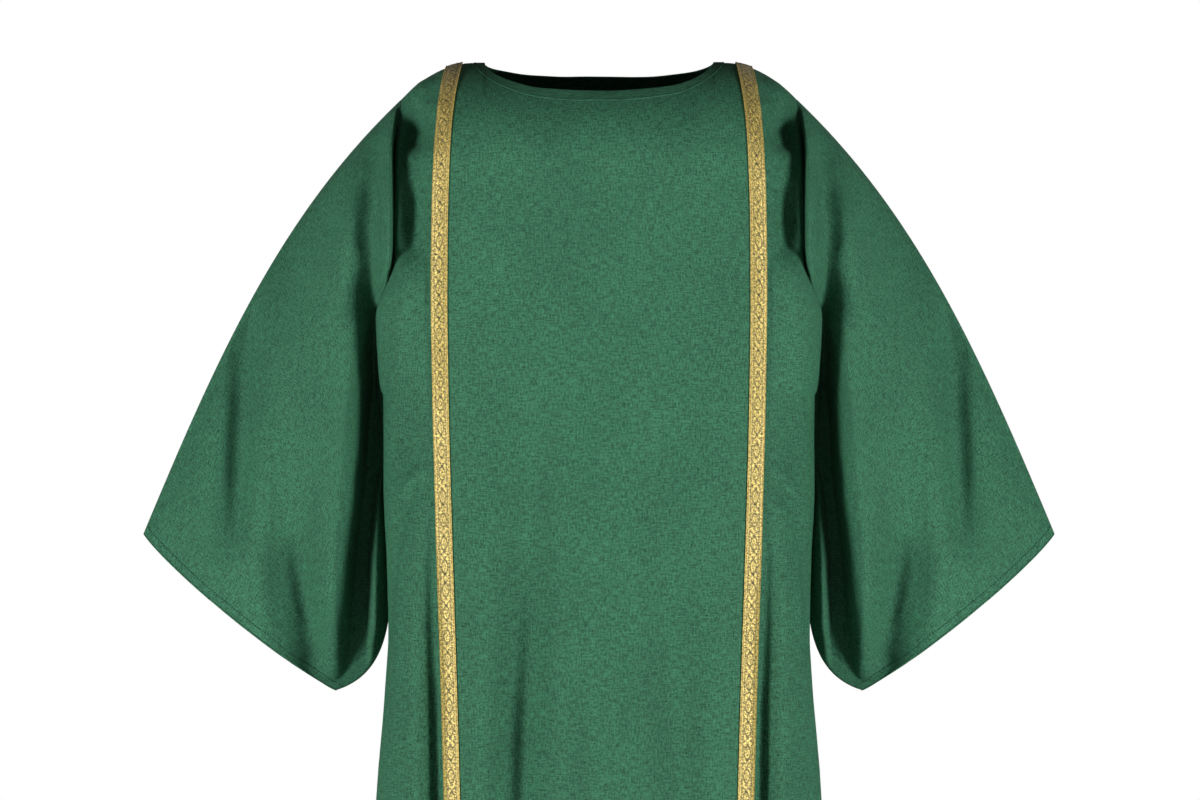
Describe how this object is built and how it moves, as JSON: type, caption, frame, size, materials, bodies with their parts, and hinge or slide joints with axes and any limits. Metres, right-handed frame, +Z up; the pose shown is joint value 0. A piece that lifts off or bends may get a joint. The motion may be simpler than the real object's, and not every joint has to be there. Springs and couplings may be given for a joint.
{
  "type": "dalmatic vestment",
  "caption": "Wide-sleeved church vestment with a scooped neck and gold braid bands running over the shoulders, hanging as worn.",
  "frame": {"origin": "midway between the two neck points, on the shoulder line that rests on the wearer's shoulders", "axes": "+Z up, +X to the wearer's left, front of the garment towards -Y"},
  "size_m": [0.9106, 0.3, 1.2031],
  "materials": {
    "vestment_cloth": "matte",
    "facing_cloth": "matte",
    "galloon": "satin"
  },
  "bodies": {
    "garment_body": {"back_panel": "vestment_cloth", "bottom_hem_back": "facing_cloth", "bottom_hem_front": "facing_cloth", "front_panel": "vestment_cloth", "galloon_back_left": "galloon", "galloon_back_right": "galloon", "galloon_front_left": "galloon", "galloon_front_right": "galloon", "neck_facing_back": "facing_cloth", "neck_facing_front": "facing_cloth"},
    "left_sleeve": {"left_sleeve_back": "vestment_cloth", "left_sleeve_front": "vestment_cloth", "left_sleeve_hem_back": "facing_cloth", "left_sleeve_hem_front": "facing_cloth"},
    "right_sleeve": {"right_sleeve_back": "vestment_cloth", "right_sleeve_front": "vestment_cloth", "right_sleeve_hem_back": "facing_cloth", "right_sleeve_hem_front": "facing_cloth"}
  },
  "joints": [
    {"name": "left_sleeve_lift", "type": "hinge", "parent": "garment_body", "child": "left_sleeve", "pos_m": [0.1983, 0, -0.035], "axis": [0, -1, 0], "range_deg": [0, 50]},
    {"name": "right_sleeve_lift", "type": "hinge", "parent": "garment_body", "child": "right_sleeve", "pos_m": [-0.1983, 0, -0.035], "axis": [0, 1, 0], "range_deg": [0, 50]}
  ]
}
